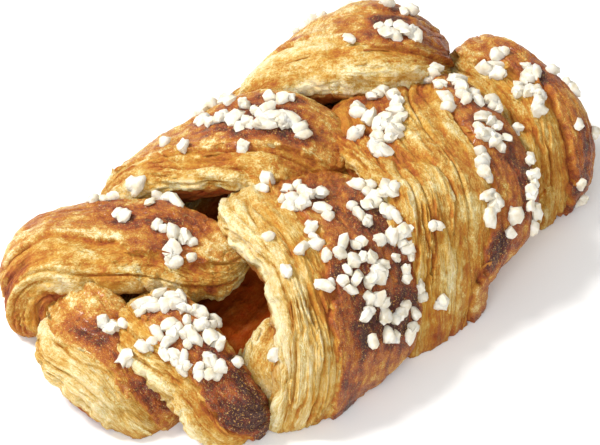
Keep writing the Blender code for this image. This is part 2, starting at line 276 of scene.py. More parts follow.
# Chains of pearl sugar on each turn: along it and round it, in turns from the lip, at
# the start and at the end, and the number of nibs
SUGAR = {
    "front one": (
        (0.76, 0.185, 0.77, 0.207, 2),
        (0.73, 0.230, 0.73, 0.248, 2),
        (0.69, 0.215, 0.66, 0.233, 4),
        (0.69, 0.250, 0.68, 0.267, 4),
        (0.64, 0.258, 0.61, 0.263, 2),
        (0.60, 0.233, 0.54, 0.223, 4),
        (0.53, 0.178, 0.53, 0.178, 1),
        (0.71, 0.328, 0.70, 0.345, 2),
        (0.66, 0.338, 0.64, 0.348, 3),
        (0.62, 0.297, 0.62, 0.295, 1),
        (0.59, 0.297, 0.57, 0.310, 3),
        (0.62, 0.318, 0.62, 0.318, 1),
        (0.54, 0.312, 0.54, 0.312, 1),
        (0.54, 0.340, 0.54, 0.358, 2),
        (0.49, 0.338, 0.49, 0.338, 1),
        (0.52, 0.258, 0.52, 0.277, 3),
        (0.49, 0.272, 0.49, 0.270, 1),
        (0.49, 0.233, 0.49, 0.245, 2),
        (0.48, 0.255, 0.45, 0.258, 3),
        (0.48, 0.285, 0.47, 0.300, 4),
        (0.45, 0.290, 0.43, 0.275, 3),
        (0.43, 0.205, 0.44, 0.242, 3),
        (0.42, 0.255, 0.42, 0.255, 1),
        (0.47, 0.353, 0.44, 0.360, 2),
        (0.39, 0.275, 0.35, 0.270, 3),
        (0.39, 0.287, 0.37, 0.300, 3),
        (0.36, 0.320, 0.38, 0.345, 3),
        (0.38, 0.380, 0.38, 0.380, 1),
        (0.33, 0.307, 0.31, 0.323, 3),
        (0.33, 0.370, 0.31, 0.365, 2),
        (0.31, 0.275, 0.31, 0.275, 1),
        (0.48, 0.118, 0.48, 0.118, 1),
        (0.60, 0.128, 0.60, 0.128, 1),
        (0.28, -0.062, 0.28, -0.062, 1),
    ),
    "front two": (
        (0.41, -0.007, 0.38, 0.045, 4),
        (0.36, 0.083, 0.35, 0.083, 2),
        (0.33, 0.083, 0.31, 0.103, 4),
        (0.26, 0.135, 0.24, 0.133, 2),
        (0.45, 0.030, 0.47, 0.088, 3),
        (0.23, 0.188, 0.23, 0.188, 2),
        (0.39, 0.158, 0.39, 0.158, 1),
        (0.39, 0.183, 0.39, 0.183, 1),
        (0.82, 0.212, 0.79, 0.190, 3),
        (0.75, 0.147, 0.72, 0.155, 3),
        (0.69, 0.120, 0.69, 0.120, 2),
        (0.69, 0.180, 0.66, 0.150, 4),
        (0.76, 0.223, 0.72, 0.207, 4),
        (0.69, 0.212, 0.65, 0.185, 4),
        (0.68, 0.183, 0.65, 0.165, 3),
        (0.64, 0.135, 0.62, 0.125, 4),
        (0.61, 0.142, 0.61, 0.142, 1),
        (0.79, 0.295, 0.79, 0.295, 2),
        (0.81, 0.345, 0.77, 0.335, 3),
        (0.73, 0.280, 0.69, 0.280, 3),
        (0.72, 0.320, 0.70, 0.328, 2),
        (0.74, 0.372, 0.70, 0.353, 3),
        (0.71, 0.410, 0.68, 0.405, 3),
        (0.64, 0.328, 0.62, 0.348, 3),
        (0.61, 0.295, 0.59, 0.305, 3),
        (0.59, 0.315, 0.57, 0.320, 3),
        (0.60, 0.362, 0.59, 0.355, 1),
        (0.56, 0.277, 0.54, 0.275, 4),
        (0.51, 0.265, 0.51, 0.272, 3),
        (0.48, 0.263, 0.46, 0.272, 4),
        (0.45, 0.275, 0.44, 0.277, 2),
        (0.42, 0.265, 0.42, 0.267, 1),
        (0.57, 0.417, 0.55, 0.400, 2),
        (0.53, 0.390, 0.51, 0.380, 3),
        (0.49, 0.372, 0.47, 0.370, 3),
        (0.44, 0.320, 0.41, 0.323, 2),
        (0.46, 0.405, 0.44, 0.420, 2),
    ),
    "front three": (
        (0.76, 0.207, 0.75, 0.248, 3),
        (0.74, 0.158, 0.71, 0.185, 3),
        (0.66, 0.275, 0.65, 0.265, 2),
        (0.63, 0.217, 0.65, 0.265, 4),
        (0.61, 0.198, 0.60, 0.183, 2),
        (0.59, 0.225, 0.56, 0.245, 5),
        (0.54, 0.212, 0.52, 0.215, 2),
        (0.49, 0.098, 0.48, 0.105, 2),
        (0.45, 0.300, 0.45, 0.300, 1),
        (0.26, 0.275, 0.26, 0.275, 1),
        (0.15, 0.292, 0.16, 0.307, 2),
        (0.65, 0.400, 0.63, 0.392, 1),
        (0.59, 0.402, 0.57, 0.397, 2),
        (0.45, 0.412, 0.43, 0.412, 1),
    ),
    "side three": (
        (0.42, 0.340, 0.50, 0.360, 4),
        (0.62, 0.400, 0.66, 0.420, 2),
        (0.85, 0.098, 0.85, 0.035, 4),
        (0.77, 0.285, 0.78, 0.290, 2),
        (0.71, 0.217, 0.72, 0.205, 2),
        (0.73, 0.198, 0.73, 0.195, 2),
        (0.74, 0.225, 0.74, 0.225, 1),
        (0.76, 0.200, 0.78, 0.212, 4),
        (0.78, 0.193, 0.79, 0.190, 2),
        (0.72, 0.300, 0.72, 0.300, 1),
        (0.63, 0.173, 0.63, 0.173, 1),
    ),
    "side two": (
        (0.50, 0.330, 0.60, 0.350, 4),
        (0.42, 0.420, 0.46, 0.430, 2),
        (0.63, 0.315, 0.63, 0.315, 1),
        (0.67, 0.270, 0.67, 0.270, 2),
        (0.73, 0.310, 0.73, 0.310, 1),
        (0.76, 0.302, 0.77, 0.310, 2),
        (0.55, 0.258, 0.58, 0.248, 3),
        (0.61, 0.242, 0.66, 0.235, 4),
        (0.68, 0.217, 0.69, 0.228, 3),
        (0.71, 0.245, 0.73, 0.245, 3),
        (0.71, 0.215, 0.74, 0.223, 4),
        (0.75, 0.240, 0.77, 0.223, 4),
        (0.78, 0.242, 0.79, 0.235, 3),
        (0.81, 0.228, 0.82, 0.228, 2),
        (0.52, 0.173, 0.52, 0.173, 1),
        (0.68, 0.160, 0.68, 0.155, 2),
        (0.37, 0.038, 0.37, 0.038, 2),
        (0.44, 0.202, 0.44, 0.202, 1),
    ),
    "side one": (
        (0.50, 0.360, 0.58, 0.380, 3),
        (0.72, 0.402, 0.75, 0.405, 3),
        (0.70, 0.328, 0.70, 0.328, 1),
        (0.76, 0.380, 0.76, 0.380, 1),
        (0.61, 0.270, 0.62, 0.260, 2),
        (0.73, 0.237, 0.75, 0.235, 2),
        (0.77, 0.228, 0.82, 0.230, 4),
        (0.77, 0.193, 0.77, 0.180, 3),
        (0.77, 0.158, 0.80, 0.150, 4),
        (0.85, 0.170, 0.85, 0.170, 1),
    ),
    "near fold": (
        (0.76, 0.272, 0.70, 0.338, 4),
        (0.76, 0.215, 0.72, 0.240, 4),
        (0.70, 0.255, 0.65, 0.297, 3),
        (0.63, 0.325, 0.59, 0.382, 4),
        (0.55, 0.422, 0.55, 0.422, 1),
        (0.55, 0.310, 0.52, 0.350, 3),
        (0.60, 0.267, 0.58, 0.285, 1),
        (0.62, 0.237, 0.59, 0.230, 2),
        (0.59, 0.245, 0.53, 0.248, 3),
        (0.65, 0.160, 0.60, 0.193, 4),
        (0.63, 0.198, 0.63, 0.198, 1),
        (0.56, 0.193, 0.54, 0.185, 2),
        (0.52, 0.230, 0.50, 0.212, 2),
        (0.48, 0.312, 0.44, 0.333, 2),
        (0.49, 0.185, 0.45, 0.183, 3),
        (0.43, 0.210, 0.41, 0.217, 2),
        (0.44, 0.253, 0.37, 0.230, 5),
        (0.39, 0.253, 0.39, 0.253, 1),
        (0.37, 0.350, 0.36, 0.355, 1),
        (0.75, 0.152, 0.75, 0.152, 1),
        (0.67, 0.078, 0.65, 0.065, 2),
    ),
    "near tip": (
        (0.51, 0.280, 0.45, 0.263, 4),
    ),
}

# Length, width and height of a middling nib, how far it is sunk in, and its grid
NIB_SIZE = (3.7, 3.1, 2.8)
NIB_SINK = 0.30
NIB_RINGS = 6
NIB_SIDES = 9

# How far nibs stray from their chain, and over which distance they are eased into the box
NIB_STRAY = 0.45
NIB_EASE = 0.5

# A middling turn's length, and how far sugar browns the dough beside it
TURN_LENGTH = 75.0
CARAMEL_REACH = 3.2

# Torn flakes: how many are tried on each turn, the grid of one and its thickness
FLAKES_A_TURN = 16
FLAKE_GRID = (7, 4)
FLAKE_THICKNESS = 0.16

# Height in metres of the fine grain on dough and sugar
DOUGH_BUMP = 0.0009
SUGAR_BUMP = 0.0003

# Camera: its place round the pastry and above it, distance, the point it faces and the lens
CAMERA_AZIMUTH = math.radians(-45)
CAMERA_ELEVATION = math.radians(44)
CAMERA_DISTANCE = 0.85
CAMERA_AIM = (-0.001, -0.0003, 0.014)
CAMERA_LENS = 204.0

SEED = 11
CORE_SEED = 3000


def lattice(x, y, z, seed):
    """Repeatable random number from 0 to 1 for whole-number places (an integer hash)."""
    mixed = (x * 73856093) ^ (y * 19349663) ^ (z * 83492791) ^ (seed * 2654435761)
    mixed &= 0xFFFFFFFF
    mixed = ((mixed ^ (mixed >> 13)) * 1274126177) & 0xFFFFFFFF
    mixed = ((mixed ^ (mixed >> 16)) * 2246822519) & 0xFFFFFFFF
    return ((mixed ^ (mixed >> 15)) & 0xFFFFFF) / 0xFFFFFF


def noise(x, y, z=0.0, seed=0):
    """Smooth noise from -1 to 1: random values at whole numbers, blended in between."""
    x, y, z = np.broadcast_arrays(np.asarray(x, float), np.asarray(y, float), np.asarray(z, float))
    floors = [np.floor(axis).astype(np.int64) for axis in (x, y, z)]
    fades = []
    for axis, low in zip((x, y, z), floors):
        t = axis - low
        fades.append(t * t * t * (t * (t * 6 - 15) + 10))
    total = np.zeros(x.shape)
    for corner in range(8):
        steps = (corner & 1, corner >> 1 & 1, corner >> 2)
        weight = 1.0
        for fade, step in zip(fades, steps):
            weight = weight * (fade if step else 1.0 - fade)
        total += weight * lattice(*(low + step for low, step in zip(floors, steps)), seed)
    return 2.0 * total - 1.0


def fractal(x, y, z=0.0, seed=0, octaves=3):
    """Sum of noises, each twice as fine and half as strong as the last."""
    total = 0.0
    for octave in range(octaves):
        fine = 2.0**octave
        total = total + noise(x * fine, y * fine, z * fine, seed + 31 * octave) / fine
    return total / (2.0 - 2.0 ** (1 - octaves))


def smooth(low, high, value):
    """0 below low, 1 above high, and a smooth step in between."""
    t = np.clip((value - low) / (high - low), 0.0, 1.0)
    return t * t * (3.0 - 2.0 * t)


def along(values, u):
    """Smooth curve through evenly spread values (a Catmull-Rom curve), read at u from 0 to 1."""
    points = np.asarray(values, float)
    points = np.concatenate([[2 * points[0] - points[1]], points, [2 * points[-1] - points[-2]]])
    spans = len(points) - 3
    place = np.clip(u, 0.0, 1.0) * spans
    first = np.minimum(place.astype(int), spans - 1)
    f = place - first
    a, b, c, d = (points[first + step] for step in range(4))
    bend = (2 * a - 5 * b + 4 * c - d) * f**2
    twist = (3 * b - a - 3 * c + d) * f**3
    return 0.5 * (2 * b + (c - a) * f + bend + twist)


def end_rounding(u, ends):
    """Half-round falling to 0 over the first and last share of the length."""
    foot = np.clip(u / ends[0], 0.0, 1.0)
    tuck = np.clip((1.0 - u) / ends[1], 0.0, 1.0)
    return np.sqrt(1.0 - (1.0 - foot) ** 2) * np.sqrt(1.0 - (1.0 - tuck) ** 2)


def turn_frame(turn, u):
    """Middle line of a turn, its outward direction and the direction of its lip."""
    middle = np.stack([along([point[axis] for point in turn["path"]], u) for axis in range(3)], -1)
    forward = np.gradient(middle, axis=0)
    forward /= np.linalg.norm(forward, axis=-1, keepdims=True)
    if "side" in turn:
        lift = (middle[:, 2] - AXIS_HEIGHT) * AXIS_OVAL
        outward = np.stack([np.zeros_like(u), middle[:, 1], lift], -1)
        side = turn["side"]
    else:
        outward = np.tile([0.0, 0.0, 1.0], (len(u), 1))
        side = -1
    outward -= (outward * forward).sum(-1, keepdims=True) * forward
    outward /= np.linalg.norm(outward, axis=-1, keepdims=True)
    lipward = np.cross(outward, forward) * -side
    tilt = np.radians(along(turn.get("tilt", (0, 0, 0)), u))[:, None]
    drooping = lipward * np.cos(tilt) - outward * np.sin(tilt)
    return middle, outward * np.cos(tilt) + lipward * np.sin(tilt), drooping


def turn_surface(turn, u, v):
    """Points of a turn: a superellipse section carried along its middle line."""
    middle, outward, lipward = turn_frame(turn, u)
    rounding = end_rounding(u, turn["ends"])
    power = 2.0 / SECTION_POWER
    across = np.sign(np.cos(v)) * np.abs(np.cos(v)) ** power
    upward = np.sign(np.sin(v)) * np.abs(np.sin(v)) ** power
    lip = (along(turn["lip"], u) * rounding)[:, None]
    crest = (along(turn["crest"], u) * rounding)[:, None]
    rise = (along(turn["rise"], u) * rounding)[:, None]
    width = np.where(across > 0, lip, crest) * across
    height = rise * upward * (1.0 - LIP_THINNING * across)
    return middle[:, None] + width[..., None] * lipward[:, None] + height[..., None] * outward[:, None]


def grid_normals(points):
    """Unit normals of a grid that closes round its second axis, pointing out."""
    along_u = np.gradient(points, axis=0)
    along_v = np.roll(points, -1, axis=1) - np.roll(points, 1, axis=1)
    normal = np.cross(along_u, along_v)
    normal /= np.linalg.norm(normal, axis=-1, keepdims=True) + 1e-12
    outward = points - points.mean(axis=1, keepdims=True)
    flip = np.sign((normal * outward).sum())
    return normal * flip


def read_round(grid, v, wanted):
    """Value of every row of a grid at its own angle round the section, as a column."""
    column = np.clip(np.searchsorted(v, wanted), 1, len(v) - 1)
    share = (wanted - v[column - 1]) / (v[column] - v[column - 1])
    row = np.arange(len(grid))
    return (grid[row, column - 1] * (1 - share) + grid[row, column] * share)[:, None]


def surface_lengths(turn, u, v, points):
    """Length along the middle line, and distance round the section from the lip, in mm."""
    middle, _, _ = turn_frame(turn, u)
    s = np.concatenate([[0], np.cumsum(np.linalg.norm(np.diff(middle, axis=0), axis=1))])
    q = np.cumsum(np.linalg.norm(np.diff(points, axis=1), axis=2), axis=1)
    q = np.concatenate([np.zeros((len(u), 1)), q], axis=1)
    q = q - read_round(q, v, np.zeros(len(u)))
    return np.broadcast_arrays(s[:, None], q)


def torn_sheets(s, q, pitch, wander, reach, seed):
    """Sheets that overlap like shingles: height from 0 to 1, shade under each edge, own number.

    The distance across, bent by noise, is cut into sheets. Each is highest at its
    torn edge, which faces the lip, and sinks away from it until the next one lies
    on top. Along its edge a sheet is now thick, now torn off.
    """
    bent = q / pitch + wander * noise(s / reach, q / (2.6 * pitch), 0, seed)
    bent = bent + 0.30 * noise(s / 5, q / (1.2 * pitch), 0, seed + 1)
    bent = bent + 0.12 * noise(s / 1.3, q / (0.8 * pitch), 0, seed + 2)
    sheet = np.floor(bent)
    inside = bent - sheet

    def thickness(number):
        drift = noise(s / 8 + number * 3.7, number * 5.17, 0, seed + 3)
        drift = drift + 0.35 * noise(s / 1.7, number * 3.3, 0, seed + 4)
        return 0.12 + 0.88 * smooth(-0.35, 0.25, drift)

    step = STEP_WIDTH / pitch
    here, beyond = thickness(sheet), thickness(sheet + 1)
    fall = (1 - inside / (1 - step)) * here
    rise = smooth(1 - step, 1, inside) * beyond
    height = np.where(inside < 1 - step, fall, rise)
    shade = np.exp(-(((inside - 1 + step) * pitch / 0.42) ** 2)) * beyond
    own = lattice(sheet.astype(np.int64), 0, 0, seed + 5)
    return height, shade, own


def caramel(name, u, v, q):
    """Browning round a turn's sugar: 1 on a chain, and fading over a few mm beside it."""
    girth = q[:, -1:] - q[:, :1]
    turns_v = v[None, :] / (2 * math.pi)
    near = np.zeros(q.shape)
    for start_u, start_v, end_u, end_v, _ in SUGAR.get(name, ()):
        run_u, run_v = (end_u - start_u) * TURN_LENGTH, (end_v - start_v) * girth
        from_u, from_v = (u[:, None] - start_u) * TURN_LENGTH, (turns_v - start_v) * girth
        share = np.clip((from_u * run_u + from_v * run_v) / (run_u**2 + run_v**2 + 0.01), 0, 1)
        away = (from_u - share * run_u) ** 2 + (from_v - share * run_v) ** 2
        near = np.maximum(near, np.exp(-away / CARAMEL_REACH**2))
    return near


def turn_finish(turn, name, u, v, points, seed):
    """Relief and baking of a turn's surface, with painted shade in the baking, as one array for each."""
    s, q = surface_lengths(turn, u, v, points)
    x, y, z = points[..., 0], points[..., 1], points[..., 2]

    edge = read_round(q, v, along(turn["crust"], u) * 2 * math.pi)
    far_edge = read_round(q, v, np.full(len(u), CRUST_END * 2 * math.pi))
    ragged = 3.4 * fractal(s / 12, q / 8, 0, seed + 5) + 1.3 * fractal(s / 2.4, q / 3, 0, seed + 6)
    past_edge = q - edge + ragged
    crust = smooth(-0.3, 0.3, past_edge) * smooth(-0.3, 0.3, far_edge - q - ragged)
    lip = np.exp(-((q / 4.0) ** 2)) * (1 - crust)
    # The underside of a turn, facing the hollows, is darkened and tinted red-brown as painted shade.
    under = smooth(-1.5, -5.0, q) * smooth(0.12, 0.30, u)[:, None]

    strata = (1 - 0.85 * crust) * (1 - 0.45 * lip) * along(turn["layers"], u)[:, None]
    strata = strata * (0.3 + 0.7 * smooth(0.5, 7.0, z))
    calm = 1 - 0.45 * smooth(0.05, 0.5, noise(s / 17, q / 9, 0, seed + 7))
    depth, shade, own, streaks = 0.0, 0.0, 0.0, 0.0
    for number, (pitch, drop, wander, reach) in enumerate(SHEETS):
        height, painted_shade, mark = torn_sheets(s, q, pitch, wander, reach, seed + 11 * (number + 1))
        depth = depth + drop * (1 - height) * calm
        shade = np.maximum(shade, painted_shade * calm * min(1.0, drop))
        own = own + mark * (0.5, 0.35, 0.15)[number]
        streaks = streaks + (mark - 0.5) * (0.11, 0.11, 0.07)[number]
    streaks = streaks * (0.35 + 0.65 * along(turn["layers"], u)[:, None])
    relief = 0.75 - depth * strata
    soft = (1 - crust) * (1 - 0.7 * along(turn["layers"], u)[:, None])
    folds = fractal(s / 10, q / 4.6, 0, seed + 60)
    crumb = fractal(x / 1.4, y / 1.4, z / 1.4, seed + 61, 2)
    relief = relief + folds * soft + crumb * (0.14 + 0.12 * soft)

    lumps = fractal(x / 15, y / 15, z / 15, seed + 8) + 0.5 * fractal(x / 5.5, y / 5.5, z / 5.5, seed + 9)
    relief = relief + 0.9 * lumps - 0.3
    crease = np.exp(-((fractal(s / 34, q / 7.5, 0, seed + 10) / 0.09) ** 2))
    relief = relief - crease * (1 - 0.6 * crust)
    pocket = smooth(0.35, 0.75, noise(s / 9, q / 6, 0, seed + 51)) * shade * (1 - crust)
    relief = relief - 1.2 * pocket

    wrinkle = fractal(s / 8, q / 1.7, 0, seed + 52)
    blister = np.maximum(fractal(x / 2.7, y / 2.7, z / 2.7, seed + 53), -0.1)
    crack = np.exp(-((fractal(s / 6, q / 3.2, 0, seed + 54) / 0.05) ** 2)) * crust
    relief = relief + (0.16 * wrinkle + 0.40 * blister - 0.30 * crack) * crust
    overhang = np.exp(-np.abs(past_edge) / 2.2)
    relief = relief + 0.35 * overhang * crust - 0.6 * overhang * (1 - crust)
    chips = fractal(s / 2.6, q / 7, 0, seed + 55)
    relief = relief - 1.5 * smooth(-0.3, 0.5, chips) * lip

    # Painted shade: darker on the underside, where the sheets sink deeper and in creases. Darker on both
    # sides of the crust's edge: a toasted rim on the crust, painted shade in the sunk dough under it.
    bake_and_shade = turn["tone"] + streaks - 0.10 * lip + 0.22 * under + 0.10 * (depth / 2.3 - 0.5)
    bake_and_shade = bake_and_shade + 0.12 * overhang + 0.12 * crease + 0.13 * fractal(x / 9, y / 9, z / 9, seed + 56)
    browned = along(turn["glaze"], u)[:, None] + 0.10 * smooth(0.0, 6.0, past_edge) - 0.10 * crack
    browned = browned + 0.34 * fractal(x / 9, y / 9, z / 9, seed + 57) - 0.12 * blister
    browned = browned + 0.16 * fractal(s / 7, q / 1.6, 0, seed + 59)
    browned = browned + 0.5 * streaks
    bake_and_shade = bake_and_shade * (1 - crust) + browned * crust
    for patch_u, patch_v, spread_u, spread_v, amount in PATCHES.get(name, ()):
        away = ((u[:, None] - patch_u) / spread_u) ** 2
        away = away + ((v[None, :] / (2 * math.pi) - patch_v) / spread_v) ** 2
        uneven = 1 + 0.7 * fractal(x / 4, y / 4, z / 4, seed + 58)
        bake_and_shade = bake_and_shade + amount * np.exp(-0.5 * away) * uneven
    # Raised folds and crumb are paler and sunken ones darker: painted light and shade on the relief.
    bake_and_shade = bake_and_shade - 0.26 * folds * soft - 0.10 * crumb
    toasted = caramel(name, u, v, q) * (0.25 + 0.75 * crust)
    bake_and_shade = bake_and_shade + 0.25 * toasted * (1 + fractal(x / 3, y / 3, z / 3, seed + 62))
    low = 1 - smooth(0.0, 6.0, z)
    bake_and_shade = bake_and_shade + 0.14 * low
    place = np.stack([s, q, own], -1)
    # Painted shade: darker under the sheets' torn edges, in pockets and in cracks of the crust.
    shade = np.clip(shade * strata + 0.8 * pocket + 0.5 * crack, 0, 1)
    # Painted shade: the core's top in the hollows and the undersides of the turns turn dark red-brown.
    inside = turn.get("painted_hollow_shade", 0.0) * smooth(30, 22, np.abs(y)) * smooth(58, 48, np.abs(x))
    painted_hollow_shade = np.maximum(0.75 * under, inside)
    streak = (1 - crust) * along(turn["layers"], u)[:, None]
    values = {"bake_and_shade": bake_and_shade, "crust": crust, "painted_shade": shade, "painted_hollow_shade": painted_hollow_shade, "streak": streak, "place": place}
    return relief, values


def closed_mesh(name, points, values):
    """Mesh of a grid that closes round its second axis, with a point at each end."""
    rows, columns = points.shape[:2]
    ends = np.stack([points[0].mean(0), points[-1].mean(0)])
    vertices = np.concatenate([points.reshape(-1, 3), ends]) * MM
    index = np.arange(rows * columns).reshape(rows, columns)
    right = np.roll(index, -1, axis=1)
    quads = np.stack([index[:-1], right[:-1], right[1:], index[1:]], -1).reshape(-1, 4)
    first = np.stack([right[0], index[0], np.full(columns, rows * columns)], -1)
    last = np.stack([index[-1], right[-1], np.full(columns, rows * columns + 1)], -1)
    fans = np.concatenate([first, last])
    a, b, c, d = (vertices[quads[:, i]] for i in range(4))
    volume = (np.cross(a - ends[0] * MM, b - ends[0] * MM) * (c - ends[0] * MM)).sum()
    volume += (np.cross(a - ends[0] * MM, c - ends[0] * MM) * (d - ends[0] * MM)).sum()
    if volume < 0:
        quads = quads[:, ::-1]
        fans = fans[:, ::-1]
    mesh = bpy.data.meshes.new(name)
    mesh.vertices.add(len(vertices))
    mesh.vertices.foreach_set("co", vertices.ravel())
    corners = np.concatenate([quads.ravel(), fans.ravel()])
    mesh.loops.add(len(corners))
    mesh.loops.foreach_set("vertex_index", corners)
    starts = np.concatenate([np.arange(len(quads)) * 4, len(quads) * 4 + np.arange(len(fans)) * 3])
    mesh.polygons.add(len(starts))
    mesh.polygons.foreach_set("loop_start", starts)
    mesh.update(calc_edges=True)
    mesh.shade_smooth()
    for key, value in values.items():
        kind = "FLOAT_VECTOR" if value.ndim == 3 else "FLOAT"
        flat = value.reshape(rows * columns, -1)
        flat = np.concatenate([flat, flat[:1], flat[-1:]])
        layer = mesh.attributes.new(key, kind, "POINT")
        layer.data.foreach_set("vector" if kind == "FLOAT_VECTOR" else "value", flat.ravel())
    return mesh


def stand(turn, u, points):
    """Flattens a turn on the base: a point below it moves towards the middle line until it is level."""
    middle, _, _ = turn_frame(turn, u)
    anchor = middle[:, None].copy()
    anchor[..., 2] = np.maximum(anchor[..., 2], ANCHOR_HEIGHT)
    depth = np.minimum(points[..., 2], 0.0)
    share = anchor[..., 2] / (anchor[..., 2] - depth)
    return anchor + (points - anchor) * share[..., None]


def settle(points, ease=EASE):
    """Moves points to the loaf's place and eases them into the CAD box, down to its base."""
    low, high = (np.array(corner) / MM for corner in CAD_BOX)
    points = points + np.array(LOAF_SHIFT)
    over = np.maximum(points - (high - ease), 0.0)
    points = np.minimum(points, high - ease) + (ease - 0.02) * np.tanh(over / ease)
    below = np.maximum((low + ease) - points, 0.0)
    below[..., 2] = 0.0
    points = points + below - (ease - 0.02) * np.tanh(below / ease)
    points[..., 2] = np.maximum(points[..., 2], low[2] + 0.02)
    return points


def add_piece(name, mesh, material):
    """New piece that rides on the pastry and stands for its solid."""
    piece = bpy.data.objects.new(name, mesh)
    bpy.context.scene.collection.objects.link(piece)
    mesh.materials.append(material)
    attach(piece, "root")
    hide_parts("pastry")
    return piece


def fine_turn(name, turn, seed, rows=ROWS, columns=COLUMNS):
    """Fine surface of a turn with its relief, and its baking values, painted shade among them."""
    t = np.linspace(0.0, 1.0, rows)
    u = 0.002 + 0.996 * (t - 0.5 * np.sin(2 * math.pi * t) / (2 * math.pi))
    t = np.arange(columns) / columns
    v = SEAM_ANGLE + 2 * math.pi * t - 0.5 * np.sin(2 * math.pi * t + SEAM_ANGLE - DENSE_ANGLE)
    v = v + 0.5 * math.sin(SEAM_ANGLE - DENSE_ANGLE)
    points = turn_surface(turn, u, v)
    relief, values = turn_finish(turn, name, u, v, points, seed)
    normal = grid_normals(points)
    points = stand(turn, u, points + normal * relief[..., None])
    return u, v, points, values


def buried(points, turn, margin):
    """True where a point lies inside a turn by more than a margin, judged by its section there."""
    u = np.linspace(0.02, 0.98, 90)
    middle, outward, lipward = turn_frame(turn, u)
    away = points[:, None] - middle[None]
    nearest = np.argmin((away**2).sum(-1), axis=1)
    away = points - middle[nearest]
    rounding = end_rounding(u, turn["ends"])
    aside = (away * lipward[nearest]).sum(-1)
    wide = np.where(aside > 0, along(turn["lip"], u)[nearest], along(turn["crest"], u)[nearest])
    wide = wide * rounding[nearest] - margin
    tall = (along(turn["rise"], u) * rounding)[nearest] - margin
    across = np.abs(aside) / np.maximum(wide, 0.1)
    upward = np.abs((away * outward[nearest]).sum(-1)) / np.maximum(tall, 0.1)
    return across**SECTION_POWER + upward**SECTION_POWER < 1.0


def sugar_places(surfaces, rng):
    """Points and normals on the fine turns: nibs strung evenly along each chain, straying a little."""
    places, normals = [], []
    for name, chains in SUGAR.items():
        u, v, points, _ = surfaces[name]
        normal = grid_normals(points)
        length = np.linalg.norm(np.diff(points.mean(axis=1), axis=0), axis=1).sum()
        girth = np.linalg.norm(np.diff(points[len(u) // 2], axis=0), axis=1).sum()
        spots = []
        for start_u, start_v, end_u, end_v, count in chains:
            share = np.linspace(0, 1, count) if count > 1 else np.array([0.5])
            stray = rng.normal(0, NIB_STRAY, (2, count))
            wanted_u = start_u + (end_u - start_u) * share + stray[0] / length
            wanted_v = start_v + (end_v - start_v) * share + stray[1] / girth
            spots.append(np.stack([wanted_u, wanted_v * 2 * math.pi]))
        wanted_u, wanted_v = np.concatenate(spots, axis=1)
        row = np.clip(np.searchsorted(u, wanted_u), 1, len(u) - 2)
        column = np.clip(np.searchsorted(v, wanted_v), 1, len(v) - 2)
        places.append(points[row, column])
        normals.append(normal[row, column])
    return np.concatenate(places), np.concatenate(normals)


def frames_on(normals, spin):
    """Two directions along the surface at each normal, turned by a spin."""
    guide = np.stack([np.cos(spin), np.sin(spin), 0.3 * np.ones(len(spin))], -1)
    first = np.cross(normals, guide)
    first /= np.linalg.norm(first, axis=1, keepdims=True)
    return first, np.cross(normals, first)


def sugar_mesh(surfaces):
    """All nibs in one mesh: lumpy rounded boxes, each of its own size, turned at random."""
    rng = np.random.default_rng(SEED)
    places, normals = sugar_places(surfaces, rng)
    count = len(places)
    ring = np.linspace(0.0, math.pi, NIB_RINGS + 1)[1:-1]
    side = np.linspace(0.0, 2 * math.pi, NIB_SIDES, endpoint=False)
    ring, side = np.meshgrid(ring, side, indexing="ij")
    ball = np.stack([np.sin(ring) * np.cos(side), np.sin(ring) * np.sin(side), np.cos(ring)], -1)
    ball = np.concatenate([ball.reshape(-1, 3), [[0, 0, 1], [0, 0, -1]]])
    power = rng.uniform(2.4, 3.6, (count, 1, 1))
    box = (np.abs(ball)[None] ** power).sum(-1, keepdims=True) ** (1 / power)
    ball = 0.5 * ball[None] / box
    shift = rng.uniform(0, 50, (count, 1, 3))
    coarse = ball * 2.6 + shift
    lump = 1 + 0.34 * noise(coarse[..., 0], coarse[..., 1], coarse[..., 2], SEED)
    fine = ball * 6.0 + shift
    lump = lump + 0.17 * noise(fine[..., 0], fine[..., 1], fine[..., 2], SEED + 1)
    grow = rng.uniform(0.75, 1.15, count)
    spreads = ((0.85, 1.35), (0.8, 1.1), (0.8, 1.1))
    shares = np.stack([rng.uniform(low, high, count) for low, high in spreads], -1)
    size = np.array(NIB_SIZE) * grow[:, None] * shares
    shape = ball * lump[..., None] * size[:, None]
    lean = normals + 0.3 * rng.normal(size=(count, 3))
    lean /= np.linalg.norm(lean, axis=1, keepdims=True)
    first, second = frames_on(lean, rng.uniform(0, 2 * math.pi, count))
    turned = shape[..., :1] * first[:, None] + shape[..., 1:2] * second[:, None]
    turned = turned + shape[..., 2:] * lean[:, None]
    centre = places + normals * (size[:, 2:] * (0.5 - NIB_SINK))
    points = settle(turned + centre[:, None], NIB_EASE)
    per_nib = ball.shape[1]
    index = np.arange((NIB_RINGS - 1) * NIB_SIDES).reshape(NIB_RINGS - 1, NIB_SIDES)
    right = np.roll(index, -1, axis=1)
    quads = np.stack([index[:-1], index[1:], right[1:], right[:-1]], -1).reshape(-1, 4)
    top, bottom = per_nib - 2, per_nib - 1
    caps = [(top, a, b) for a, b in zip(index[0], right[0])]
    caps += [(bottom, b, a) for a, b in zip(index[-1], right[-1])]
    offsets = (np.arange(count) * per_nib)[:, None, None]
    faces = (quads[None] + offsets).reshape(-1, 4).tolist()
    faces += (np.array(caps)[None] + offsets).reshape(-1, 3).tolist()
    mesh = bpy.data.meshes.new("pearl_sugar")
    mesh.from_pydata((points.reshape(-1, 3) * MM).tolist(), [], faces)
    mesh.shade_smooth()
    mesh.set_sharp_from_angle(angle=math.radians(52))
    return mesh


